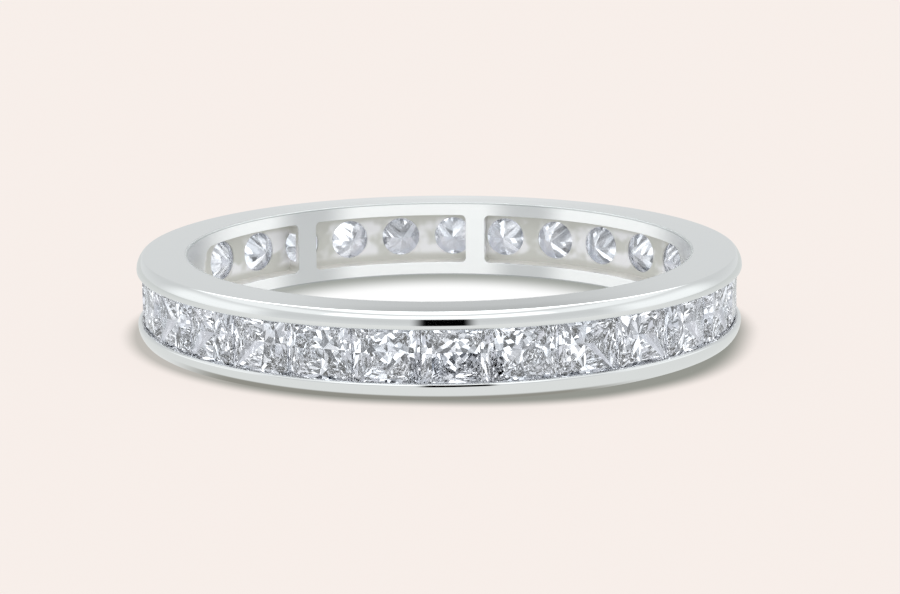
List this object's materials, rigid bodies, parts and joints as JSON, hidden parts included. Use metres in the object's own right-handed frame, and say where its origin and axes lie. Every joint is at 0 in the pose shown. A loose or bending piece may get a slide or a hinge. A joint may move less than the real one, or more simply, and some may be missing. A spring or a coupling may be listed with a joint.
{
  "type": "channel-set eternity ring",
  "caption": "Finger ring with a closed row of square-cut clear stones held in a channel between two polished rails, and windows through the inner wall behind them.",
  "frame": {"origin": "centre of the finger hole, on the plane of the lower flat side that the ring rests on", "axes": "+Z along the finger, up out of the upper flat side; -Y towards the front of the ring as it is seen in the picture"},
  "size_m": [0.0198, 0.0198, 0.0027],
  "materials": {
    "polished_metal": "polished white gold",
    "stone": "clear faceted diamond"
  },
  "bodies": {
    "root": {"band": "polished_metal", "stone_01": "stone", "stone_02": "stone", "stone_03": "stone", "stone_04": "stone", "stone_05": "stone", "stone_06": "stone", "stone_07": "stone", "stone_08": "stone", "stone_09": "stone", "stone_10": "stone", "stone_11": "stone", "stone_12": "stone", "stone_13": "stone", "stone_14": "stone", "stone_15": "stone", "stone_16": "stone", "stone_17": "stone", "stone_18": "stone", "stone_19": "stone", "stone_20": "stone", "stone_21": "stone", "stone_22": "stone", "stone_23": "stone", "stone_24": "stone", "stone_25": "stone", "stone_26": "stone", "stone_27": "stone", "stone_28": "stone", "stone_29": "stone"}
  },
  "joints": []
}
